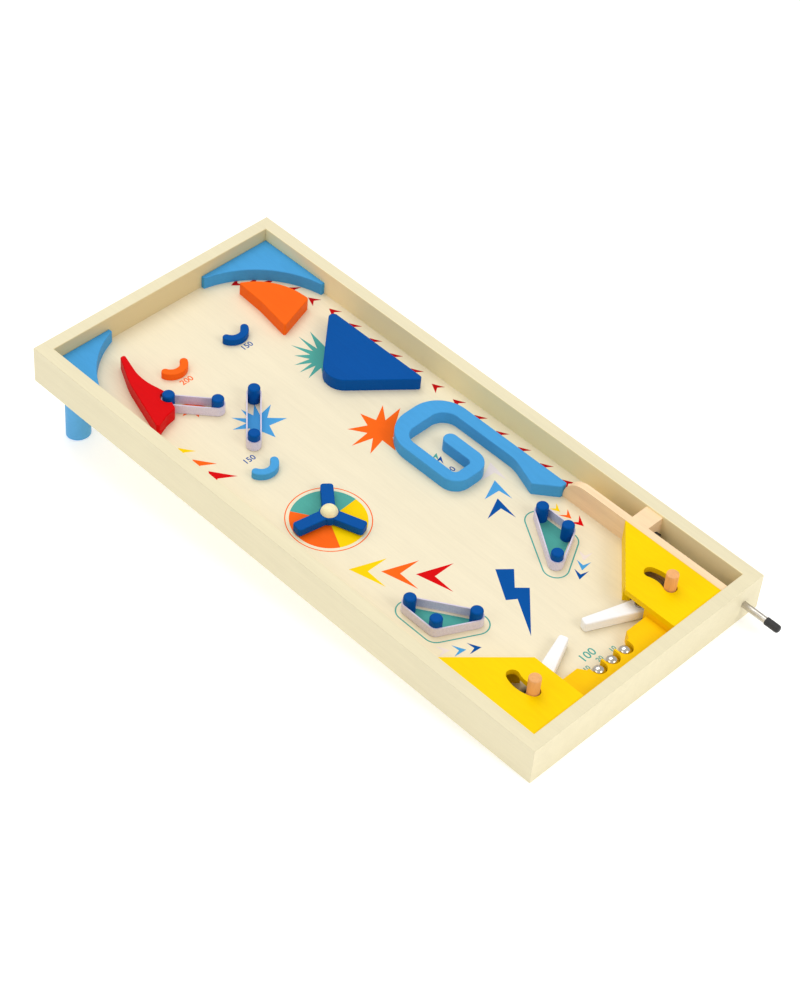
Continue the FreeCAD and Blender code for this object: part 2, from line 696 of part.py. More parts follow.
def cover_wall(side):
    """The slanted wall that carries a cover's cut-off edge."""
    run = COVER_WIDTH
    fall = COVER_SIDE_LENGTH - COVER_INNER_LENGTH
    length = math.hypot(run, fall)
    along = (run / length, -fall / length)
    behind = (-fall / length * COVER_WALL_THICKNESS, -run / length * COVER_WALL_THICKNESS)
    reach = length - COVER_WALL_SETBACK
    rear = (INNER_LEFT, INNER_FRONT + COVER_SIDE_LENGTH)
    front = (rear[0] + along[0] * reach, rear[1] + along[1] * reach)
    back_front = (front[0] + behind[0], front[1] + behind[1])
    back_rear = (INNER_LEFT, rear[1] - COVER_WALL_THICKNESS * length / run)
    outline = [corner + (0,) for corner in (rear, front, back_front, back_rear)]
    return on_side(prism(outline, 0, COVER_BOTTOM), side)


def cover_batten(side):
    """The strip along the side that carries a cover's outer edge."""
    wall_foot = INNER_FRONT + COVER_SIDE_LENGTH - COVER_WALL_THICKNESS * 3.2
    solid = block(INNER_LEFT, INNER_LEFT + COVER_BATTEN_WIDTH, INNER_FRONT, wall_foot, 0, COVER_BOTTOM)
    return on_side(solid, side)


def score_rail():
    """The rail along the front wall, with a recess that leads to the ball pockets. A lug at
    each end carries the inner edge of a cover."""
    x0 = INNER_LEFT + COVER_WIDTH
    x1 = mirrored(x0)
    y1 = INNER_FRONT + RAIL_DEPTH
    rail = block(x0, x1, INNER_FRONT, y1, 0, BLOCK_HEIGHT)
    half = RAIL_RECESS_WIDTH / 2
    mouth = half + RAIL_RECESS_CORNER
    recess = [
        (FIELD_CENTRE - mouth, y1 + 1, 0),
        (FIELD_CENTRE - half, y1 - RAIL_RECESS_DEPTH, 0),
        (FIELD_CENTRE + half, y1 - RAIL_RECESS_DEPTH, 0),
        (FIELD_CENTRE + mouth, y1 + 1, 0),
    ]
    rail = ease_top(rail.cut(prism(recess, 0, BLOCK_HEIGHT)), BLOCK_EASE / 2)
    for x in pocket_places():
        rail = rail.cut(dowel(x, pocket_centre(), 0, BLOCK_HEIGHT, 2 * POCKET_RADIUS))
        rail = rail.cut(block(x - POCKET_RADIUS, x + POCKET_RADIUS, pocket_centre(), y1, 0, BLOCK_HEIGHT))
    lug = block(x0 - RAIL_LUG_WIDTH, x0, INNER_FRONT, INNER_FRONT + RAIL_LUG_LENGTH, 0, COVER_BOTTOM)
    rail = rail.fuse(lug).fuse(on_side(lug, "right"))
    return rail.removeSplitter()


def pocket_centre():
    """How far back the pockets' centres are."""
    return INNER_FRONT + RAIL_DEPTH - RAIL_RECESS_DEPTH - POCKET_RADIUS * 0.7


def pocket_places():
    """The x of each ball pocket, spread evenly about the centre line."""
    first = FIELD_CENTRE - POCKET_SPACING * (POCKET_COUNT - 1) / 2
    return [first + POCKET_SPACING * index for index in range(POCKET_COUNT)]


def on_side(solid, side):
    """A piece drawn for the left of the playing area, or its mirror image on the right."""
    if side == "left":
        return solid
    return solid.mirror(point(FIELD_CENTRE, 0, 0), point(1, 0, 0))


def at_pivot(solid, side):
    """A piece drawn for a left flipper's pivot at the origin, put at the pivot on one side."""
    if side == "right":
        solid = solid.mirror(point(0, 0, 0), point(1, 0, 0))
    x, y = FLIPPER_PIVOTS[side]
    solid.translate(point(x, y))
    return solid


def flipper_bat(side):
    """A tapered bat and a tail, bored for the pivot screw, with a socket for its handle."""
    root = FLIPPER_ROOT_WIDTH / 2
    tip = FLIPPER_TIP_WIDTH / 2
    end = FLIPPER_REACH
    corner = FLIPPER_CORNER
    bat = [(0, -root, 0), (end, -tip, corner), (end, tip, corner), (0, root, 0)]
    solid = prism(bat, FLIPPER_BOTTOM, FLIPPER_TOP)
    solid.rotate(point(0, 0, 0), UP, FLIPPER_REST_ANGLE)
    tail_half = FLIPPER_TAIL_WIDTH / 2
    tail = prism(
        [(0, -root, 0), (HANDLE_RADIUS, -tail_half, 0), (HANDLE_RADIUS, tail_half, 0), (0, root, 0)],
        FLIPPER_BOTTOM,
        FLIPPER_TOP,
    )
    tail = tail.fuse(dowel(HANDLE_RADIUS, 0, FLIPPER_BOTTOM, FLIPPER_TOP, FLIPPER_TAIL_WIDTH))
    tail.rotate(point(0, 0, 0), UP, 180 + HANDLE_REST_ANGLE)
    solid = solid.fuse(tail).fuse(dowel(0, 0, FLIPPER_BOTTOM, FLIPPER_TOP, FLIPPER_ROOT_WIDTH))
    solid = ease_top(solid.removeSplitter(), FLIPPER_EASE)
    solid = solid.cut(dowel(0, 0, FLIPPER_BOTTOM, FLIPPER_TOP, PIVOT_DIAMETER + 2 * PIVOT_CLEARANCE))
    x, y = polar((0, 0), HANDLE_RADIUS, 180 + HANDLE_REST_ANGLE)
    solid = solid.cut(dowel(x, y, FLIPPER_TOP - HANDLE_SEAT, FLIPPER_TOP, HANDLE_DIAMETER))
    return at_pivot(solid, side)


def flipper_handle(side):
    """The wooden peg that stands up through a cover's slot."""
    x, y = polar((0, 0), HANDLE_RADIUS, 180 + HANDLE_REST_ANGLE)
    peg = dowel(x, y, FLIPPER_TOP - HANDLE_SEAT, COVER_TOP + HANDLE_TOP, HANDLE_DIAMETER)
    return at_pivot(ease_top(peg, HANDLE_ROUND), side)


def flipper_screws():
    """The pivot screws of both flippers."""
    screws = []
    for side in ("left", "right"):
        x, y = FLIPPER_PIVOTS[side]
        screws.append(pivot_screw(x, y, FLIPPER_TOP + RUNNING_GAP))
    return Part.Compound(screws)


def flipper_washers():
    """The washers that hold both flippers off the playfield."""
    rings = []
    for side in ("left", "right"):
        x, y = FLIPPER_PIVOTS[side]
        rings.append(washer(x, y, FLIPPER_WASHER_THICKNESS))
    return Part.Compound(rings)


def steel_ball(x):
    """A ball in a pocket, a hair off the rail and the playfield."""
    radius = BALL_DIAMETER / 2
    y = pocket_centre() - POCKET_RADIUS + radius + BALL_GAP
    return Part.makeSphere(radius, point(x, y, radius + BALL_GAP))


def all_pieces():
    """Every piece of the game by name, in the board's directions."""
    pieces = tray_walls()
    pieces["playfield_panel"] = playfield_panel()
    for side in ("left", "right"):
        pieces["leg_" + side] = leg(side)
        pieces["corner_block_" + side] = corner_block(side)
        pieces["flipper_cover_" + side] = flipper_cover(side)
        pieces["cover_wall_" + side] = cover_wall(side)
        pieces["cover_batten_" + side] = cover_batten(side)
        pieces["flipper_" + side] = flipper_bat(side)
        pieces["flipper_handle_" + side] = flipper_handle(side)
    pieces["leg_bolts"] = leg_bolts()
    pieces["orange_deflector"] = orange_deflector()
    pieces["blue_deflector"] = blue_deflector()
    pieces["curl_guide"] = curl_guide()
    pieces["fin_guide"] = fin_guide()
    for name in CUPS:
        pieces[name] = score_cup(name)
    for bumper, places in bumper_places().items():
        for index, place in enumerate(places):
            pieces["post_%s_%d" % (bumper, index + 1)] = post(place)
        pieces["band_" + bumper] = elastic_band(places)
    pieces["spinner_washer"] = washer(SPINNER_X, SPINNER_Y, WASHER_THICKNESS)
    pieces["spinner_rotor"] = spinner_rotor()
    screw_seat = WASHER_THICKNESS + 2 * RUNNING_GAP + SPINNER_THICKNESS
    pieces["spinner_screw"] = pivot_screw(SPINNER_X, SPINNER_Y, screw_seat)
    pieces["spinner_cap"] = spinner_cap()
    pieces["pivot_nuts"] = pivot_nuts()
    pieces["flipper_screws"] = flipper_screws()
    pieces["flipper_washers"] = flipper_washers()
    pieces["lane_divider"] = lane_divider()
    pieces["plunger_guide_block"] = plunger_guide_block()
    pieces["plunger_rod"] = plunger_rod()
    pieces["plunger_tip"] = plunger_tip()
    pieces["plunger_buffer"] = plunger_buffer()
    pieces["plunger_clip"] = plunger_clip()
    pieces["plunger_spring"] = plunger_spring()
    pieces["score_rail"] = score_rail()
    for index, x in enumerate(pocket_places()):
        pieces["ball_%d" % (index + 1)] = steel_ball(x)
    return pieces


def lean(pieces):
    """Leans the game back on its legs and puts the middle of its footprint at the origin."""
    for shape in pieces.values():
        shape.rotate(point(0, 0, TRAY_BOTTOM), point(1, 0, 0), BOARD_TILT)
    whole = Part.Compound(list(pieces.values())).optimalBoundingBox()
    offset = point(-(whole.XMin + whole.XMax) / 2, -(whole.YMin + whole.YMax) / 2, -TRAY_BOTTOM)
    for shape in pieces.values():
        shape.translate(offset)
    return offset


def main():
    os.makedirs("parts", exist_ok=True)
    pieces = all_pieces()
    lean(pieces)
    for name, shape in pieces.items():
        shape.exportStep("parts/%s.step" % name)


main()
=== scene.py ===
"""Dresses a packed wooden bagatelle game: paint, wood, steel and elastic finishes, the prints on its
playfield, and a plain pale studio seen from the player's left."""

import math

import bpy
from mathutils import Matrix, Quaternion, Vector


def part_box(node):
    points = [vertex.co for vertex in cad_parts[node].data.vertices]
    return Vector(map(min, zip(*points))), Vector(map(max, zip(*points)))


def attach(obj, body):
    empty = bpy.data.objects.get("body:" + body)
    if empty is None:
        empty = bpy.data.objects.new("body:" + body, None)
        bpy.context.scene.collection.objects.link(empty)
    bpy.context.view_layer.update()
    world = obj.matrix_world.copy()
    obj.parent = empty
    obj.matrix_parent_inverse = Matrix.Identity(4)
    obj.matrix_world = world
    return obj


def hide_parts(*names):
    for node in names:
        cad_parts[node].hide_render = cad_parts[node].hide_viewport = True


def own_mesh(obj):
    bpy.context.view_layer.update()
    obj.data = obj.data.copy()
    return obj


bl_info = {
    "name": "Bagatelle Game Dressing",
    "version": (1, 0, 0),
    "blender": (4, 5, 0),
    "location": "View3D > Sidebar > Bagatelle",
    "description": "Finishes, prints and studio for a wooden bagatelle game",
    "category": "Object",
}

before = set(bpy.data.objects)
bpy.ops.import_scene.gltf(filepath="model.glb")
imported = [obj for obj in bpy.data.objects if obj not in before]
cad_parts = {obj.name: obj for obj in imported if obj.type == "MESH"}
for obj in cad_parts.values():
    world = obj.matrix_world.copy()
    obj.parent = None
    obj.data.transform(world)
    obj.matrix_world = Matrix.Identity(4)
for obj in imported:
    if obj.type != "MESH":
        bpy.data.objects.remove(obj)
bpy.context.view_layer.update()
MM = 0.001
BODY = "tray"


def size_property(name, description, size):
    """A size in millimetres that the user can change."""
    return bpy.props.FloatProperty(
        name=name,
        description=description,
        default=size * MM,
        unit="LENGTH",
    )


class GameSizes(bpy.types.PropertyGroup):
    """The sizes of the board and its prints."""

    tilt: bpy.props.FloatProperty(
        name="Board Tilt",
        description="How far the legs lean the board back",
        default=math.radians(6.2),
        subtype="ANGLE",
        unit="ROTATION",
    )
    wall_height: size_property("Wall Height", "Height of the tray's walls, from bottom to rim", 42.0)
    playfield_depth: size_property("Playfield Depth", "How far the playfield lies below the rim", 28.3)
    tray_width: size_property("Tray Width", "Width of the tray over its side walls", 300.0)
    tray_length: size_property("Tray Length", "Length of the tray along its side walls", 651.0)
    wall_thickness: size_property("Wall Thickness", "Thickness of the tray's walls", 13.7)
    spring_wire: size_property("Spring Wire", "Thickness of the plunger spring's wire", 1.0)
    spring_diameter: size_property("Spring Diameter", "Diameter over the plunger spring's coils", 10.0)
    print_thickness: size_property("Print Thickness", "How far the ink stands above the playfield", 0.05)
    disc_radius: size_property("Disc Radius", "Radius of the coloured disc under the spinner", 36.3)
    ring_radius: size_property("Ring Radius", "Radius of the thin ring round the disc", 40.5)
    line_width: size_property("Line Width", "Width of the thin printed lines", 1.0)
    digit_height: size_property("Digit Height", "Size of the printed scores", 11.0)


def paint_property(name, description, colour):
    """A colour that the user can change."""
    return bpy.props.FloatVectorProperty(
        name=name,
        description=description,
        subtype="COLOR",
        size=3,
        min=0.0,
        max=1.0,
        default=tuple((channel / 255) ** 2.2 for channel in colour),
    )


class GamePaints(bpy.types.PropertyGroup):
    """The colours of the woods, paints and inks."""

    tray: paint_property("Tray", "Lacquered tray boards", (233, 222, 186))
    # The walls' inner faces: painted light on the side walls and painted shade on the end walls,
    # standing in for how light falls into the tray.
    side_inside_painted_light: paint_property("Side Inside", "The side walls' inner faces", (250, 235, 185))
    end_inside_painted_shade: paint_property("End Inside", "The end walls' inner faces", (224, 205, 157))
    # A dark painted shade for the playfield under the flipper covers, standing in for the shadow there.
    painted_cover_shade: paint_property("Cover Shade", "Panel under the flipper covers", (40, 24, 18))
    playfield: paint_property("Playfield", "Lacquered playfield panel", (240, 228, 197))
    light_blue: paint_property("Light Blue", "Corner blocks and curl", (76, 159, 218))
    dark_blue: paint_property("Dark Blue", "Wedge, posts and spinner", (0, 82, 158))
    leg_blue: paint_property("Leg Blue", "Painted legs", (98, 171, 222))
    orange: paint_property("Orange", "Orange block, cup and inks", (255, 104, 28))
    red: paint_property("Red", "Fin and red ink", (218, 6, 16))
    yellow: paint_property("Yellow", "Flipper covers and yellow ink", (255, 210, 0))
    # The score rail has the covers' yellow paint; this deeper colour is painted shade on it.
    amber: paint_property("Amber", "Score rail", (255, 200, 16))
    white: paint_property("White", "Flipper bats", (255, 254, 254))
    teal: paint_property("Teal", "Teal ink", (84, 168, 156))
    maroon: paint_property("Maroon", "Launch lane ink", (186, 16, 22))
    pale: paint_property("Pale", "Palest ink", (236, 222, 214))
    natural: paint_property("Natural Wood", "Unpainted wood", (252, 216, 172))
    handle: paint_property("Handle Wood", "Flipper handles", (240, 172, 108))


class Sum:
    """A shader socket that takes part in Python sums."""

    def __init__(self, tree, socket):
        self.tree = tree
        self.socket = socket

    def _join(self, operation, first, second):
        node = self.tree.nodes.new("ShaderNodeMath")
        node.operation = operation
        for slot, value in zip(node.inputs, (first, second)):
            if isinstance(value, Sum):
                self.tree.links.new(value.socket, slot)
            else:
                slot.default_value = value
        return Sum(self.tree, node.outputs[0])

    def __add__(self, other):
        return self._join("ADD", self, other)

    def __sub__(self, other):
        return self._join("SUBTRACT", self, other)

    def __rsub__(self, other):
        return self._join("SUBTRACT", other, self)

    def __mul__(self, other):
        return self._join("MULTIPLY", self, other)

    def __abs__(self):
        return self._join("ABSOLUTE", self, 0.0)

    def larger(self, other):
        """The larger of two numbers."""
        return self._join("MAXIMUM", self, other)


class Finish:
    """A material built from nodes, with its surface shader ready."""

    def __init__(self, name, **values):
        self.material = bpy.data.materials.new(name)
        self.material.use_nodes = True
        self.tree = self.material.node_tree
        self.shader = self.tree.nodes["Principled BSDF"]
        for socket, value in values.items():
            self.shader.inputs[socket.replace("_", " ")].default_value = value

    def node(self, kind, settings=None, output=0, **inputs):
        """Adds one node, with its settings first and then its sockets' values or links."""
        node = self.tree.nodes.new(kind)
        for key, value in (settings or {}).items():
            setattr(node, key, value)
        for key, value in inputs.items():
            self.feed(node.inputs[key.replace("_", " ")], value)
        return Sum(self.tree, node.outputs[output])

    def feed(self, socket, value):
        """Links a sum to a socket, or sets the socket's own value."""
        if isinstance(value, Sum):
            self.tree.links.new(value.socket, socket)
        else:
            socket.default_value = value

    def surface(self, **inputs):
        """Feeds the surface shader."""
        for key, value in inputs.items():
            self.feed(self.shader.inputs[key.replace("_", " ")], value)

    def place(self, scale=(1, 1, 1), turn=(0, 0, 0)):
        """Object coordinates in the board's own directions, stretched by a scale for each."""
        coordinates = self.node("ShaderNodeTexCoord", output=3)
        tilt = bpy.context.scene.game_sizes.tilt
        level = self.node("ShaderNodeMapping", Vector=coordinates, Rotation=(-tilt, 0, 0))
        return self.node("ShaderNodeMapping", Vector=level, Rotation=turn, Scale=scale)

    def board_spot(self):
        """How far right and how far back a point lies on the board, in metres."""
        coordinates = self.node("ShaderNodeTexCoord", output=3)
        tilt = bpy.context.scene.game_sizes.tilt
        start = (Matrix.Rotation(-tilt, 4, "X") @ board_place()).translation
        level = self.node(
            "ShaderNodeMapping",
            Vector=coordinates,
            Rotation=(-tilt, 0, 0),
            Location=tuple(-value for value in start),
        )
        return [self.node("ShaderNodeSeparateXYZ", output=axis, Vector=level) for axis in (0, 1)]

    def noise(self, vector, scale, detail=3.0, roughness=0.5, distortion=0.0):
        """Noise as a number."""
        return self.node(
            "ShaderNodeTexNoise",
            Vector=vector,
            Scale=scale,
            Detail=detail,
            Roughness=roughness,
            Distortion=distortion,
        )

    def mix(self, share, first, second):
        """A colour between two others."""
        node = self.tree.nodes.new("ShaderNodeMix")
        node.data_type = "RGBA"
        self.feed(node.inputs[0], share)
        for socket, value in ((node.inputs[6], first), (node.inputs[7], second)):
            if isinstance(value, Sum):
                self.feed(socket, value)
            else:
                socket.default_value = tuple(value)[:3] + (1.0,)
        return Sum(self.tree, node.outputs[2])

    def ramp(self, value, low, high):
        """A number spread from 0 at low to 1 at high, and held there."""
        return self.node(
            "ShaderNodeMapRange",
            {"clamp": True},
            Value=value,
            From_Min=low,
            From_Max=high,
        )

    def bump(self, height, strength, distance):
        """A normal that a height tips."""
        return self.node("ShaderNodeBump", Height=height, Strength=strength, Distance=distance)


def tint(colour, amount):
    """A colour made darker below 1 or lighter above it."""
    return tuple(min(1.0, channel * amount) for channel in colour)


def painted_wood(name, colour, grain_turn=0.0, gloss=0.42):
    """Satin paint on smooth wood: the grain shows through faintly, with soft roller texture."""
    finish = Finish(name, IOR=1.46, Specular_IOR_Level=0.06)
    along = finish.place(scale=(1, 0.12, 1), turn=(0, 0, grain_turn))
    grain = finish.noise(along, 420.0, 5.0, 0.62, 0.4)
    cloud = finish.noise(finish.place(), 16.0, 2.0)
    roller = finish.noise(finish.place(), 1300.0, 2.0)
    shade = finish.ramp(grain, 0.35, 0.7) * 0.55 + finish.ramp(cloud, 0.35, 0.68) * 0.45
    base = finish.mix(shade, tint(colour, 1.03), tint(colour, 0.92))
    height = grain * 0.65 + roller * 0.35
    finish.surface(
        Base_Color=base,
        Roughness=finish.ramp(roller, 0.2, 0.8) * 0.12 + (gloss - 0.06),
        Normal=finish.bump(height, 0.16, 0.25 * MM),
    )
    return finish.material


def inner_faces_light_and_shade(finish):
    """A share that is 1 on the tray walls' faces that look into the tray, where painted light (side
    walls) and painted shade (end walls) go.
    """
    sizes = bpy.context.scene.game_sizes
    across, back = finish.board_spot()
    half_width = sizes.tray_width / 2
    half_length = sizes.tray_length / 2
    beside = abs(across - half_width) - (half_width - sizes.wall_thickness)
    behind = abs(back - half_length) - (half_length - sizes.wall_thickness)
    return 1.0 - finish.ramp(beside.larger(behind), 0.1 * MM, 0.8 * MM)


# Where the painted shade under the flipper covers fades in and reaches full darkness, in millimetres.
COVER_SHADE_ASIDE = (62, 66, 114, 118)
COVER_SHADE_BACK = (64, 70)


def painted_shade_under_covers(finish):
    """A share that is 1 on the playfield in the closed spaces under the flipper covers, where a dark
    painted shade stands in for the shadow there.
    """
    across, back = finish.board_spot()
    aside = abs(across - FIELD_CENTRE * MM)
    near, near_full, far_full, far = (edge * MM for edge in COVER_SHADE_ASIDE)
    full, none = (edge * MM for edge in COVER_SHADE_BACK)
    inside = finish.ramp(aside, near, near_full) * (1.0 - finish.ramp(aside, far_full, far))
    return inside * (1.0 - finish.ramp(back, full, none))


def lacquered_board(name, colour, grain_turn=0.0, painted_light_and_shade_area=None, painted_light_and_shade_colour=(0, 0, 0)):
    """Pale lacquered board whose long fine grain runs one way, with another colour in one area, used for
    painted light and painted shade.
    """
    finish = Finish(name, IOR=1.47, Specular_IOR_Level=0.3)
    along = finish.place(scale=(1, 0.05, 1), turn=(0, 0, grain_turn))
    fine = finish.noise(along, 620.0, 6.0, 0.66, 0.3)
    broad = finish.noise(along, 70.0, 3.0, 0.55, 0.9)
    cloud = finish.noise(finish.place(), 9.0, 2.0)
    shade = finish.ramp(fine, 0.4, 0.72) * 0.4 + finish.ramp(broad, 0.38, 0.7) * 0.35
    shade = shade + finish.ramp(cloud, 0.35, 0.65) * 0.25
    base = finish.mix(shade, tint(colour, 1.03), tint(colour, 0.93))
    # Painted light and shade: one area of the board takes another colour.
    if painted_light_and_shade_area:
        base = finish.mix(painted_light_and_shade_area(finish), base, painted_light_and_shade_colour)
    finish.surface(
        Base_Color=base,
        Roughness=finish.ramp(broad, 0.3, 0.7) * 0.1 + 0.42,
        Normal=finish.bump(fine, 0.12, 0.2 * MM),
    )
    return finish.material


def bare_wood(name, colour, grain_scale=(1, 0.06, 1), darkest=0.74):
    """Unpainted beech or birch: darker flecks and bands along the grain."""
    finish = Finish(name, IOR=1.45)
    along = finish.place(scale=grain_scale)
    bands = finish.noise(along, 150.0, 4.0, 0.6, 1.2)
    flecks = finish.noise(along, 900.0, 3.0, 0.7)
    shade = finish.ramp(bands, 0.36, 0.68) * 0.6
    shade = shade + finish.ramp(flecks, 0.56, 0.74) * 0.4
    base = finish.mix(shade, tint(colour, 1.06), tint(colour, darkest))
    finish.surface(
        Base_Color=base,
        Roughness=finish.ramp(flecks, 0.3, 0.7) * 0.15 + 0.5,
        Normal=finish.bump(bands * 0.5 + flecks * 0.5, 0.22, 0.3 * MM),
    )
    return finish.material


def polished_steel(name, colour, roughness):
    """Bright steel with a faint haze and hair scratches."""
    finish = Finish(name, Metallic=1.0)
    haze = finish.noise(finish.place(), 180.0, 3.0)
    scratch = finish.noise(finish.place(scale=(1, 0.03, 1)), 2200.0, 2.0)
    finish.surface(
        Base_Color=finish.mix(finish.ramp(haze, 0.3, 0.7), tint(colour, 1.05), tint(colour, 0.86)),
        Roughness=finish.ramp(haze, 0.35, 0.7) * 0.08 + roughness,
        Normal=finish.bump(scratch, 0.05, 0.1 * MM),
    )
    return finish.material


def zinc_plate(name):
    """Dull zinc-plated steel with a mottled face."""
    finish = Finish(name, Metallic=1.0)
    mottle = finish.noise(finish.place(), 700.0, 4.0, 0.6)
    finish.surface(
        Base_Color=finish.mix(mottle, (0.62, 0.62, 0.6), (0.42, 0.42, 0.43)),
        Roughness=mottle * 0.25 + 0.28,
        Normal=finish.bump(mottle, 0.15, 0.1 * MM),
    )
    return finish.material


def black_rubber(name):
    """Matt black rubber with a fine dusty texture."""
    finish = Finish(name, IOR=1.5)
    dust = finish.noise(finish.place(), 900.0, 4.0, 0.6)
    finish.surface(
        Base_Color=finish.mix(dust, (0.010, 0.010, 0.011), (0.035, 0.034, 0.034)),
        Roughness=dust * 0.2 + 0.5,
        Normal=finish.bump(dust, 0.3, 0.15 * MM),
    )
    return finish.material


def woven_elastic(name):
    """Pale covered elastic: fine ribs along the band and tiny cross threads."""
    finish = Finish(name, IOR=1.45, Sheen_Weight=0.15)
    across = finish.place()
    split = finish.node("ShaderNodeSeparateXYZ", output=2, Vector=across)
    ribs = finish.node(
        "ShaderNodeMath",
        {"operation": "SINE"},
        Value=split * (2 * math.pi / (0.9 * MM)),
    )
    thread = finish.noise(finish.place(scale=(1, 1, 0.3)), 1500.0, 3.0)
    rib_share = ribs * 0.5 + 0.5
    shade = rib_share * 0.45 + finish.ramp(thread, 0.35, 0.7) * 0.55
    finish.surface(
        Base_Color=finish.mix(shade, (0.80, 0.74, 0.86), (0.62, 0.55, 0.70)),
        Roughness=finish.ramp(thread, 0.3, 0.7) * 0.2 + 0.5,
        Normal=finish.bump(rib_share * 0.6 + thread * 0.4, 0.35, 0.2 * MM),
    )
    return finish.material


def printed_ink(name, colour):
    """Screen-printed ink: even, slightly glossy, with pinholes where the grain shows through."""
    finish = Finish(name, IOR=1.48, Specular_IOR_Level=0.05)
    grain = finish.noise(finish.place(scale=(1, 0.06, 1)), 900.0, 4.0, 0.6)
    cloud = finish.noise(finish.place(), 60.0, 2.0)
    shade = finish.ramp(grain, 0.5, 0.85) * 0.6 + finish.ramp(cloud, 0.35, 0.7) * 0.3
    finish.surface(
        Base_Color=finish.mix(shade, tint(colour, 1.02), tint(colour, 0.88)),
        Roughness=finish.ramp(cloud, 0.3, 0.7) * 0.08 + 0.4,
        Normal=finish.bump(grain, 0.08, 0.1 * MM),
    )
    return finish.material


def paint_colour(name):
    """A colour from the user's paints."""
    return tuple(getattr(bpy.context.scene.game_paints, name))


def coat(material, *nodes):
    """Gives CAD nodes one material."""
    for name in nodes:
        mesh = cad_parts[name].data
        mesh.materials.clear()
        mesh.materials.append(material)


def nodes_named(*starts):
    """The CAD nodes whose names start in one of these ways."""
    return sorted(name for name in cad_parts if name.startswith(starts))


def board_place():
    """Turns the board's own directions into the frame's. Its origin is on the playfield's top,
    under the tray's front left corner."""
    sizes = bpy.context.scene.game_sizes
    low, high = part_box("front_wall")
    front = low[1] + sizes.wall_height * math.sin(sizes.tilt)
    lean = Matrix.Rotation(sizes.tilt, 4, "X")
    rise = Matrix.Translation((0, 0, sizes.wall_height - sizes.playfield_depth))
    return Matrix.Translation((low[0], front, 0)) @ lean @ rise


def choose(piece):
    """Makes one piece the only chosen and the active one."""
    bpy.ops.object.select_all(action="DESELECT")
    piece.select_set(True)
    bpy.context.view_layer.objects.active = piece


def settle_print(piece, material):
    """Turns a flat curve or text into a mesh in its place on the playfield, and fixes it there."""
    choose(piece)
    bpy.ops.object.convert(target="MESH")
    piece = bpy.context.view_layer.objects.active
    half = bpy.context.scene.game_sizes.print_thickness / 2
    piece.data.transform(board_place() @ Matrix.Translation((0, 0, half)) @ piece.matrix_world)
    piece.matrix_world = Matrix.Identity(4)
    bpy.ops.object.mode_set(mode="EDIT")
    bpy.ops.mesh.select_all(action="SELECT")
    bpy.ops.mesh.remove_doubles(threshold=0.002 * MM)
    bpy.ops.mesh.normals_make_consistent(inside=False)
    bpy.ops.object.mode_set(mode="OBJECT")
    piece.data.materials.clear()
    piece.data.materials.append(material)
    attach(piece, BODY)
    return piece


def flat_print(name, outlines, material):
    """Ink of one colour in closed outlines of (x, y) points in millimetres on the board."""
    curve = bpy.data.curves.new(name, "CURVE")
    curve.dimensions = "2D"
    curve.fill_mode = "BOTH"
    curve.extrude = bpy.context.scene.game_sizes.print_thickness / 2
    for outline in outlines:
        spline = curve.splines.new("POLY")
        spline.points.add(len(outline) - 1)
        for corner, (x, y) in zip(spline.points, outline):
            corner.co = (x * MM, y * MM, 0, 1)
        spline.use_cyclic_u = True
    piece = bpy.data.objects.new(name, curve)
    bpy.context.scene.collection.objects.link(piece)
    return settle_print(piece, material)


def turned(outline, place, heading, size=1.0):
    """An outline drawn pointing to the rear, turned to a heading in degrees and moved to its place."""
    angle = math.radians(heading - 90)
    cos, sin = math.cos(angle), math.sin(angle)
    return [
        (place[0] + size * (x * cos - y * sin), place[1] + size * (x * sin + y * cos))
        for x, y in outline
    ]


def circle_points(centre, radius, first=0.0, sweep=360.0, count=72):
    """Points evenly round a circle or part of one."""
    ends = 0 if sweep >= 360.0 else 1
    steps = max(2, round(count * sweep / 360.0))
    points = []
    for index in range(steps + ends):
        angle = math.radians(first + sweep * index / steps)
        points.append((centre[0] + radius * math.cos(angle), centre[1] + radius * math.sin(angle)))
    return points


def burst(centre, tips, inner):
    """A starburst: a spike for each (heading, length), with valleys midway between them."""
    outline = []
    for index, (heading, length) in enumerate(tips):
        following = tips[(index + 1) % len(tips)][0]
        if following < heading:
            following += 360
        outline += circle_points(centre, length, heading, 0.0, 1)[:1]
        outline += circle_points(centre, inner, (heading + following) / 2, 0.0, 1)[:1]
    return outline


def pulled_loop(places, radius):
    """The outline of a loop pulled tight round circles of one radius, drawn anticlockwise."""
    outline = []
    count = len(places)
    for index, (x, y) in enumerate(places):
        before = places[index - 1]
        after = places[(index + 1) % count]
        first = math.degrees(math.atan2(y - before[1], x - before[0])) - 90
        last = math.degrees(math.atan2(after[1] - y, after[0] - x)) - 90
        outline += circle_points((x, y), radius, first, (last - first) % 360, 60)
    return outline


FIELD_CENTRE = 136.2
CHEVRON = [(0, 0), (6.5, -12), (0, -7.5), (-6.5, -12)]
LANE_CENTRE = 274.5
LANE_FIRST = 217.0
LANE_STEP = 28.6
LANE_COUNT = 12
LANE_BEND = [
    ((270, 557), 96),
    ((265, 581), 112),
    ((252, 603), 132),
    ((240, 612), 150),
    ((224, 620), 168),
]


class BAGATELLE_OT_lane_prints(bpy.types.Operator):
    """Print the chevrons that lead up the launch lane and round its corner"""

    bl_idname = "bagatelle.lane_prints"
    bl_label = "Launch Lane Prints"

    def execute(self, context):
        ink = printed_ink("maroon_ink", paint_colour("maroon"))
        outlines = []
        for index in range(LANE_COUNT):
            outlines.append(turned(CHEVRON, (LANE_CENTRE, LANE_FIRST + LANE_STEP * index), 90))
        for place, heading in LANE_BEND:
            outlines.append(turned(CHEVRON, place, heading))
        flat_print("lane_chevrons", outlines, ink)
        return {"FINISHED"}


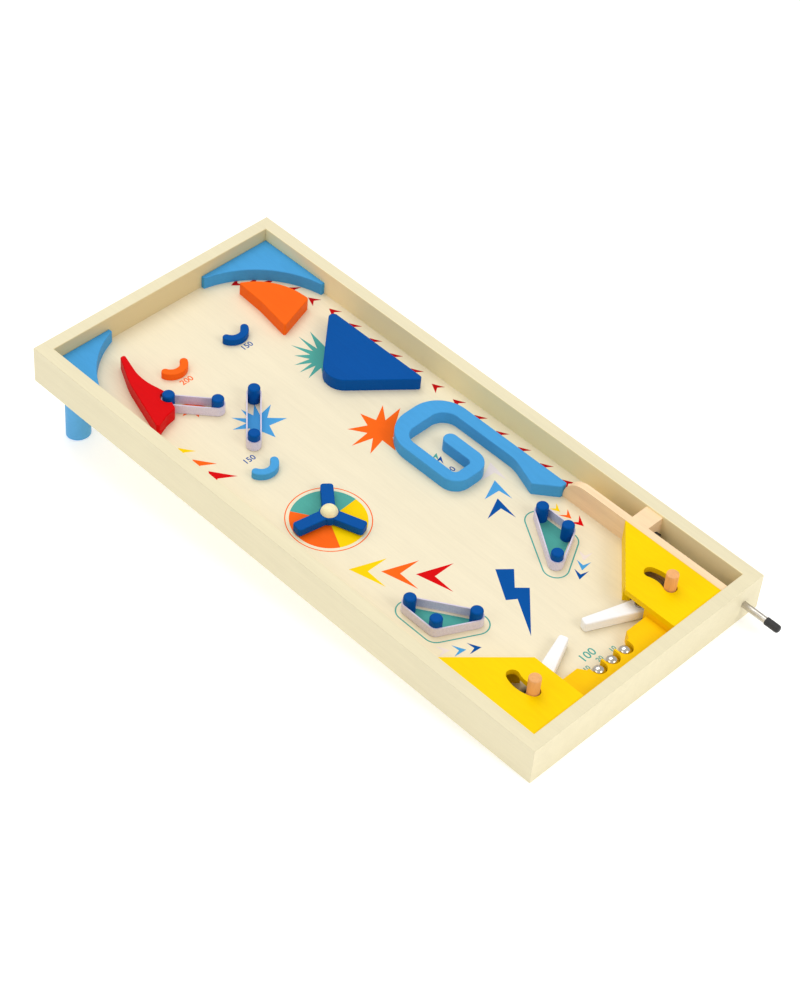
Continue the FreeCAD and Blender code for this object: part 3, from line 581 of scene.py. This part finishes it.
FIELD_ARROWS = {"yellow": (46, 267), "orange": (66, 246), "red": (87, 223)}
EDGE_ARROW = [(0, 0), (10, -14), (0, -8), (-10, -14)]
EDGE_ARROWS = {"yellow": ((33, 482), 1.0), "orange": ((33, 462), 1.35), "red": ((34, 441), 1.6)}
CURL_ARROWS = {
    "light_blue": [(226, 258), (221, 231), (219, 246), (201, 247)],
    "dark_blue": [(211, 240), (206, 212), (204, 229), (185, 228)],
    "pale": [(240, 277), (235, 251), (233, 265), (216, 266)],
}
SMALL_ARROW = [(0, 0), (5.5, -10), (0, -5.5), (-5.5, -10)]
PLAYER_ARROWS = {"yellow": ((242, 190), 1.0), "orange": ((243.5, 177), 1.1), "red": ((245, 163), 1.25)}
CORNER_ARROWS = {"pale": (213, 134), "light_blue": (203, 127), "dark_blue": (193, 121)}
INNER_ARROW = [(0, 0), (3.9, -10), (0, -5.5), (-3.9, -10)]
INNER_ARROWS = {"teal": (210.6, 319.0), "dark_blue": (210.9, 313.4)}
CORNER_ARROWS_LEFT = {"pale": (46, 140), "light_blue": (57, 131), "dark_blue": (69, 124)}


class BAGATELLE_OT_field_arrows(bpy.types.Operator):
    """Print the arrows on the playfield, one piece for each ink"""

    bl_idname = "bagatelle.field_arrows"
    bl_label = "Playfield Arrows"

    def execute(self, context):
        outlines = {name: [] for name in (*FIELD_ARROWS, *CURL_ARROWS, "teal")}
        for name, place in FIELD_ARROWS.items():
            corners = [(0, 0), (35, -13), (11, -13), (10, -37)]
            outlines[name].append([(place[0] + x, place[1] + y) for x, y in corners])
        for name, (place, size) in EDGE_ARROWS.items():
            outlines[name].append(turned(EDGE_ARROW, place, 90, size))
        for name, corners in CURL_ARROWS.items():
            outlines[name].append(corners)
        for name, (place, size) in PLAYER_ARROWS.items():
            outlines[name].append(turned(SMALL_ARROW, place, 268, size))
        for name, place in CORNER_ARROWS.items():
            outlines[name].append(turned(SMALL_ARROW, place, 214, 1.2))
        for name, place in INNER_ARROWS.items():
            outlines[name].append(turned(INNER_ARROW, place, 36))
        for name, place in CORNER_ARROWS_LEFT.items():
            outlines[name].append(turned(SMALL_ARROW, place, 326, 1.2))
        for name, shapes in outlines.items():
            flat_print("arrows_" + name, shapes, printed_ink(name + "_arrow_ink", paint_colour(name)))
        return {"FINISHED"}


TEAL_BURST = (
    (222, 482),
    [
        (20, 34), (68, 40), (88, 39), (110, 37), (133, 30),
        (158, 32), (178, 33), (198, 34), (225, 36), (250, 34),
    ],
)
BLUE_BURST = (
    (112, 458),
    [
        (22, 28), (56, 26), (90, 24), (124, 26), (160, 26),
        (205, 25), (268, 25), (332, 28),
    ],
)
CURL_BURST = (
    (193, 375),
    [
        (15, 36), (43, 34), (89, 29), (137, 32), (175, 36),
        (208, 34), (252, 30), (300, 30),
    ],
)
BAND_BURST = (
    (80, 514),
    [
        (20, 16), (75, 15), (130, 15), (190, 16), (250, 15),
        (315, 15),
    ],
)
BOLT = [(145, 180), (158, 169), (142, 153), (152, 144), (111, 104), (134, 142), (125, 148)]


class BAGATELLE_OT_bursts(bpy.types.Operator):
    """Print the starbursts and the lightning bolt"""

    bl_idname = "bagatelle.bursts"
    bl_label = "Starbursts and Bolt"

    def execute(self, context):
        teal = printed_ink("teal_burst_ink", paint_colour("teal"))
        blue = printed_ink("blue_burst_ink", paint_colour("light_blue"))
        orange = printed_ink("orange_burst_ink", paint_colour("orange"))
        navy = printed_ink("bolt_ink", paint_colour("dark_blue"))
        flat_print("burst_teal", [burst(*TEAL_BURST, 15)], teal)
        flat_print("burst_light_blue", [burst(*BLUE_BURST, 11)], blue)
        flat_print("burst_orange", [burst(*CURL_BURST, 14), burst(*BAND_BURST, 7)], orange)
        flat_print("lightning_bolt", [BOLT], navy)
        return {"FINISHED"}


SPINNER = (75.3, 323.6)
SECTORS = {"teal": 3.0, "orange": 123.0, "yellow": 243.0}
SECTOR_SWEEP = 120.0


class BAGATELLE_OT_spinner_disc(bpy.types.Operator):
    """Print the three-coloured disc and the thin ring under the spinner"""

    bl_idname = "bagatelle.spinner_disc"
    bl_label = "Spinner Disc"

    def execute(self, context):
        sizes = context.scene.game_sizes
        for name, first in SECTORS.items():
            ink = printed_ink(name + "_disc_ink", paint_colour(name))
            sector = [SPINNER] + circle_points(SPINNER, sizes.disc_radius / MM, first, SECTOR_SWEEP, 120)
            flat_print("disc_" + name, [sector], ink)
        ring = []
        for radius in (sizes.ring_radius, sizes.ring_radius - sizes.line_width):
            ring.append(circle_points(SPINNER, radius / MM, 0.0, 360.0, 120))
        flat_print("disc_ring", ring, printed_ink("ring_ink", paint_colour("orange")))
        return {"FINISHED"}


BUMPER_C = [(222.3, 196.0), (189.5, 147.2), (222.4, 164.0)]
BUMPER_D = [(51.8, 197.0), (51.6, 164.4), (85.2, 147.2)]
OUTLINE_GAP = 12.3
OUTLINE_SPREAD = 0.65
FILL_RADIUS = 3.5
OUTLINE_C = [(218.3, 195.5), (187.5, 145.0), (218.3, 161.8)]
OUTLINE_D = [(51.5, 195.8), (51.3, 163.2), (84.9, 146.0)]


class BAGATELLE_OT_bumper_prints(bpy.types.Operator):
    """Print the filled triangle inside each three-post bumper and the line round it"""

    bl_idname = "bagatelle.bumper_prints"
    bl_label = "Bumper Prints"

    def execute(self, context):
        width = context.scene.game_sizes.line_width / MM
        ink = printed_ink("bumper_ink", paint_colour("teal"))
        outlines = []
        for posts, line in ((BUMPER_C, OUTLINE_C), (BUMPER_D, OUTLINE_D)):
            outlines.append(pulled_loop(line, OUTLINE_GAP + width * OUTLINE_SPREAD))
            outlines.append(pulled_loop(line, OUTLINE_GAP - width * OUTLINE_SPREAD))
            outlines.append(pulled_loop(posts, FILL_RADIUS))
        flat_print("bumper_prints", outlines, ink)
        return {"FINISHED"}


SCORES = [
    ("200", (99.7, 545.2), 0, 0.86, "orange"),
    ("150", (176.1, 543.9), 0, 0.82, "dark_blue"),
    ("150", (72.6, 427.3), 0, 0.82, "dark_blue"),
    ("100", (202.4, 294.2), 0, 0.82, "dark_blue"),
    ("100", (132, 56), 0, 1.1, "teal"),
    ("10", (120, 46), 0, 0.62, "teal"),
    ("20", (137, 46), 0, 0.62, "teal"),
    ("10", (154, 46), 0, 0.62, "teal"),
]


class BAGATELLE_OT_scores(bpy.types.Operator):
    """Print the plain scores beside the cups and the pockets"""

    bl_idname = "bagatelle.scores"
    bl_label = "Printed Scores"

    def execute(self, context):
        sizes = context.scene.game_sizes
        for index, (digits, place, turn, share, colour) in enumerate(SCORES):
            bpy.ops.object.text_add(location=(place[0] * MM, place[1] * MM, 0))
            piece = context.active_object
            piece.name = "score_print_%d" % (index + 1)
            piece.rotation_euler[2] = math.radians(turn)
            piece.data.body = digits
            piece.data.size = sizes.digit_height * share
            piece.data.align_x = "CENTER"
            piece.data.align_y = "CENTER"
            piece.data.offset = 0.12 * MM
            piece.data.resolution_u = 5
            piece.data.extrude = sizes.print_thickness / 2
            context.view_layer.update()
            settle_print(piece, printed_ink("score_ink_%d" % (index + 1), paint_colour(colour)))
        return {"FINISHED"}


class BAGATELLE_OT_tray_finish(bpy.types.Operator):
    """Lacquer the tray's walls and its playfield panel, with painted light and shade on the walls' inner
    faces and a dark painted shade under the flipper covers
    """

    bl_idname = "bagatelle.tray_finish"
    bl_label = "Tray Finish"

    def execute(self, context):
        # Painted light on the side walls' inner faces and painted shade on the end walls' inner faces.
        tray = paint_colour("tray")
        side = lacquered_board("tray_side_board", tray, 0.0, inner_faces_light_and_shade, paint_colour("side_inside_painted_light"))
        end_inside_painted_shade = paint_colour("end_inside_painted_shade")
        end = lacquered_board("tray_end_board", tray, math.radians(90), inner_faces_light_and_shade, end_inside_painted_shade)
        coat(side, "left_wall", "right_wall")
        coat(end, "front_wall", "rear_wall")
        # The playfield gets a dark painted shade under the flipper covers.
        shade = paint_colour("painted_cover_shade")
        panel = lacquered_board("playfield_ply", paint_colour("playfield"), 0.0, painted_shade_under_covers, shade)
        coat(panel, "playfield_panel")
        return {"FINISHED"}


PAINTED = {
    "light_blue": ("corner_block_", "curl_guide", "cup_light_blue"),
    "dark_blue": ("blue_deflector", "cup_dark_blue", "post_", "spinner_rotor"),
    "orange": ("orange_deflector", "cup_orange"),
    "red": ("fin_guide",),
    "yellow": ("flipper_cover_", "cover_wall_"),
    # Painted shade: the rail's deeper yellow stands in for shade on the covers' yellow paint.
    "amber": ("score_rail",),
    "leg_blue": ("leg_left", "leg_right"),
    "white": ("flipper_left", "flipper_right"),
}


class BAGATELLE_OT_painted_wood(bpy.types.Operator):
    """Paint the blocks, posts, cups, covers, legs and flippers"""

    bl_idname = "bagatelle.painted_wood"
    bl_label = "Painted Wood"

    def execute(self, context):
        for name, starts in PAINTED.items():
            coat(painted_wood(name + "_paint", paint_colour(name)), *nodes_named(*starts))
        return {"FINISHED"}


class BAGATELLE_OT_bare_wood(bpy.types.Operator):
    """Leave the lane strips, battens, spinner cap and handles as bare wood"""

    bl_idname = "bagatelle.bare_wood"
    bl_label = "Bare Wood"

    def execute(self, context):
        natural = paint_colour("natural")
        coat(bare_wood("lane_beech", natural, darkest=0.86), "lane_divider", "plunger_guide_block")
        coat(bare_wood("batten_beech", tint(natural, 0.95)), *nodes_named("cover_batten_"))
        coat(bare_wood("cap_birch", tint(natural, 1.25), (1, 0.4, 1)), "spinner_cap")
        handle = bare_wood("handle_beech", paint_colour("handle"), (1, 1, 0.08))
        coat(handle, *nodes_named("flipper_handle_"))
        return {"FINISHED"}


class BAGATELLE_OT_hardware(bpy.types.Operator):
    """Finish the balls, plunger, screws, nuts, washers and elastic bands"""

    bl_idname = "bagatelle.hardware"
    bl_label = "Hardware"

    def execute(self, context):
        coat(polished_steel("ball_steel", (0.72, 0.66, 0.58), 0.08), *nodes_named("ball_"))
        coat(polished_steel("rod_steel", (0.60, 0.56, 0.50), 0.30), "plunger_rod")
        coat(polished_steel("spring_steel", (0.50, 0.50, 0.50), 0.22), "plunger_spring")
        zinc = zinc_plate("zinc_plate")
        coat(zinc, "leg_bolts", "pivot_nuts", "flipper_screws", "flipper_washers", "plunger_clip")
        coat(zinc, "spinner_screw", "spinner_washer")
        coat(black_rubber("black_rubber"), "plunger_tip", "plunger_buffer")
        coat(woven_elastic("woven_elastic"), *nodes_named("band_"))
        return {"FINISHED"}


SPRING_AXIS = (276.4, 7.0)
SPRING_FRONT = 13.7
SPRING_REAR = 102.4
SPRING_TURNS = 16


class BAGATELLE_OT_plunger_spring(bpy.types.Operator):
    """Wind the plunger's spring as one fixed coil on the tray"""

    bl_idname = "bagatelle.plunger_spring"
    bl_label = "Plunger Spring"

    def execute(self, context):
        sizes = context.scene.game_sizes
        wire = sizes.spring_wire
        length = (SPRING_REAR - SPRING_FRONT) * MM
        bpy.ops.object.select_all(action="DESELECT")
        bpy.ops.mesh.primitive_circle_add(
            vertices=10,
            radius=wire / 2,
            location=((sizes.spring_diameter - wire) / 2, 0, 0),
            rotation=(math.radians(90), 0, 0),
        )
        coil = context.active_object
        coil.name = "plunger_coil"
        bpy.ops.object.transform_apply(location=True, rotation=True, scale=True)
        screw = coil.modifiers.new("winding", "SCREW")
        screw.axis = "Z"
        screw.angle = math.radians(360)
        screw.screw_offset = (length - wire) / SPRING_TURNS
        screw.iterations = SPRING_TURNS
        screw.steps = 24
        screw.render_steps = 24
        bpy.ops.object.modifier_apply(modifier=screw.name)
        bpy.ops.object.mode_set(mode="EDIT")
        bpy.ops.mesh.select_all(action="SELECT")
        bpy.ops.mesh.fill_holes(sides=0)
        bpy.ops.mesh.select_all(action="SELECT")
        bpy.ops.mesh.normals_make_consistent(inside=False)
        bpy.ops.object.mode_set(mode="OBJECT")
        bpy.ops.object.shade_smooth()
        x, z = SPRING_AXIS
        foot = Matrix.Translation((x * MM, SPRING_FRONT * MM + wire / 2, z * MM))
        coil.data.transform(board_place() @ foot @ Matrix.Rotation(math.radians(-90), 4, "X"))
        coil.data.materials.append(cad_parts["plunger_spring"].data.materials[0])
        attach(coil, BODY)
        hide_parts("plunger_spring")
        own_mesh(coil)
        return {"FINISHED"}


CAMERA_PLACE = (-1.23208, -1.25424, 1.58670)
CAMERA_AIM = (0.02781, 0.03016, 0.0)
CAMERA_ROLL = math.radians(-0.77)
CAMERA_LENS = 91.34
FLOOR_SIZE = 14.0
WORLD_STRENGTH = 0.60
FLOOR_GLOW = 0.40
SOFTBOXES = (
    ("softbox_top", (0.3, 0.7, 2.2), 1.6, 20.0),
    ("softbox_front", (0.2, -1.7, 1.2), 0.8, 9.0),
    ("softbox_left", (-1.8, 0.2, 1.6), 1.4, 6.0),
)


def area_light(name, place, size, power):
    """A soft square light that faces the middle of the game."""
    data = bpy.data.lights.new(name, "AREA")
    data.shape = "RECTANGLE"
    data.size = size
    data.size_y = size
    data.energy = power
    lamp = bpy.data.objects.new(name, data)
    bpy.context.scene.collection.objects.link(lamp)
    lamp.location = place
    lamp.rotation_euler = (-Vector(place)).to_track_quat("-Z", "Y").to_euler()


class BAGATELLE_OT_stage(bpy.types.Operator):
    """Set the pale floor, the soft light and the camera"""

    bl_idname = "bagatelle.stage"
    bl_label = "Stage"

    def execute(self, context):
        scene = context.scene
        bpy.ops.object.select_all(action="DESELECT")
        bpy.ops.mesh.primitive_plane_add(size=FLOOR_SIZE, location=(0, 0, 0))
        floor = context.active_object
        floor.name = "studio_floor"
        paper = Finish("studio_paper", IOR=1.3)
        fibre = paper.noise(paper.place(), 30.0, 3.0)
        paper.surface(
            Base_Color=paper.mix(fibre, (0.86, 0.86, 0.86), (0.84, 0.84, 0.84)),
            Roughness=fibre * 0.05 + 0.9,
            Emission_Color=(1.0, 1.0, 1.0, 1.0),
            Emission_Strength=FLOOR_GLOW,
        )
        floor.data.materials.append(paper.material)
        world = bpy.data.worlds.new("studio_world")
        world.use_nodes = True
        background = world.node_tree.nodes["Background"]
        background.inputs["Color"].default_value = (1.0, 1.0, 1.0, 1.0)
        background.inputs["Strength"].default_value = WORLD_STRENGTH
        scene.world = world
        for name, place, size, power in SOFTBOXES:
            area_light(name, place, size, power)
        lens = bpy.data.cameras.new("photo_camera")
        lens.lens = CAMERA_LENS
        lens.sensor_width = 36.0
        lens.clip_start = 0.1
        lens.clip_end = 60.0
        camera = bpy.data.objects.new("photo_camera", lens)
        scene.collection.objects.link(camera)
        camera.location = CAMERA_PLACE
        facing = (Vector(CAMERA_AIM) - Vector(CAMERA_PLACE)).to_track_quat("-Z", "Y")
        camera.rotation_euler = (facing @ Quaternion((0, 0, 1), CAMERA_ROLL)).to_euler()
        scene.camera = camera
        scene.view_settings.view_transform = "Standard"
        return {"FINISHED"}


STEPS = (
    BAGATELLE_OT_tray_finish,
    BAGATELLE_OT_painted_wood,
    BAGATELLE_OT_bare_wood,
    BAGATELLE_OT_hardware,
    BAGATELLE_OT_plunger_spring,
    BAGATELLE_OT_lane_prints,
    BAGATELLE_OT_field_arrows,
    BAGATELLE_OT_bursts,
    BAGATELLE_OT_spinner_disc,
    BAGATELLE_OT_bumper_prints,
    BAGATELLE_OT_scores,
    BAGATELLE_OT_stage,
)


class BAGATELLE_PT_panel(bpy.types.Panel):
    """The game's steps, sizes and colours in the sidebar"""

    bl_idname = "BAGATELLE_PT_panel"
    bl_label = "Bagatelle Game"
    bl_space_type = "VIEW_3D"
    bl_region_type = "UI"
    bl_category = "Bagatelle"

    def draw(self, context):
        for step in STEPS:
            self.layout.operator(step.bl_idname)
        for group in (context.scene.game_sizes, context.scene.game_paints):
            for name in group.bl_rna.properties.keys():
                if name not in ("rna_type", "name"):
                    self.layout.prop(group, name)


CLASSES = (GameSizes, GamePaints) + STEPS + (BAGATELLE_PT_panel,)


def register():
    for item in CLASSES:
        bpy.utils.register_class(item)
    bpy.types.Scene.game_sizes = bpy.props.PointerProperty(type=GameSizes)
    bpy.types.Scene.game_paints = bpy.props.PointerProperty(type=GamePaints)


def unregister():
    del bpy.types.Scene.game_paints
    del bpy.types.Scene.game_sizes
    for item in reversed(CLASSES):
        bpy.utils.unregister_class(item)


def main():
    register()
    bpy.ops.object.select_all(action="DESELECT")
    for step in STEPS:
        group, name = step.bl_idname.split(".")
        getattr(getattr(bpy.ops, group), name)()


if __name__ == "__main__":
    main()
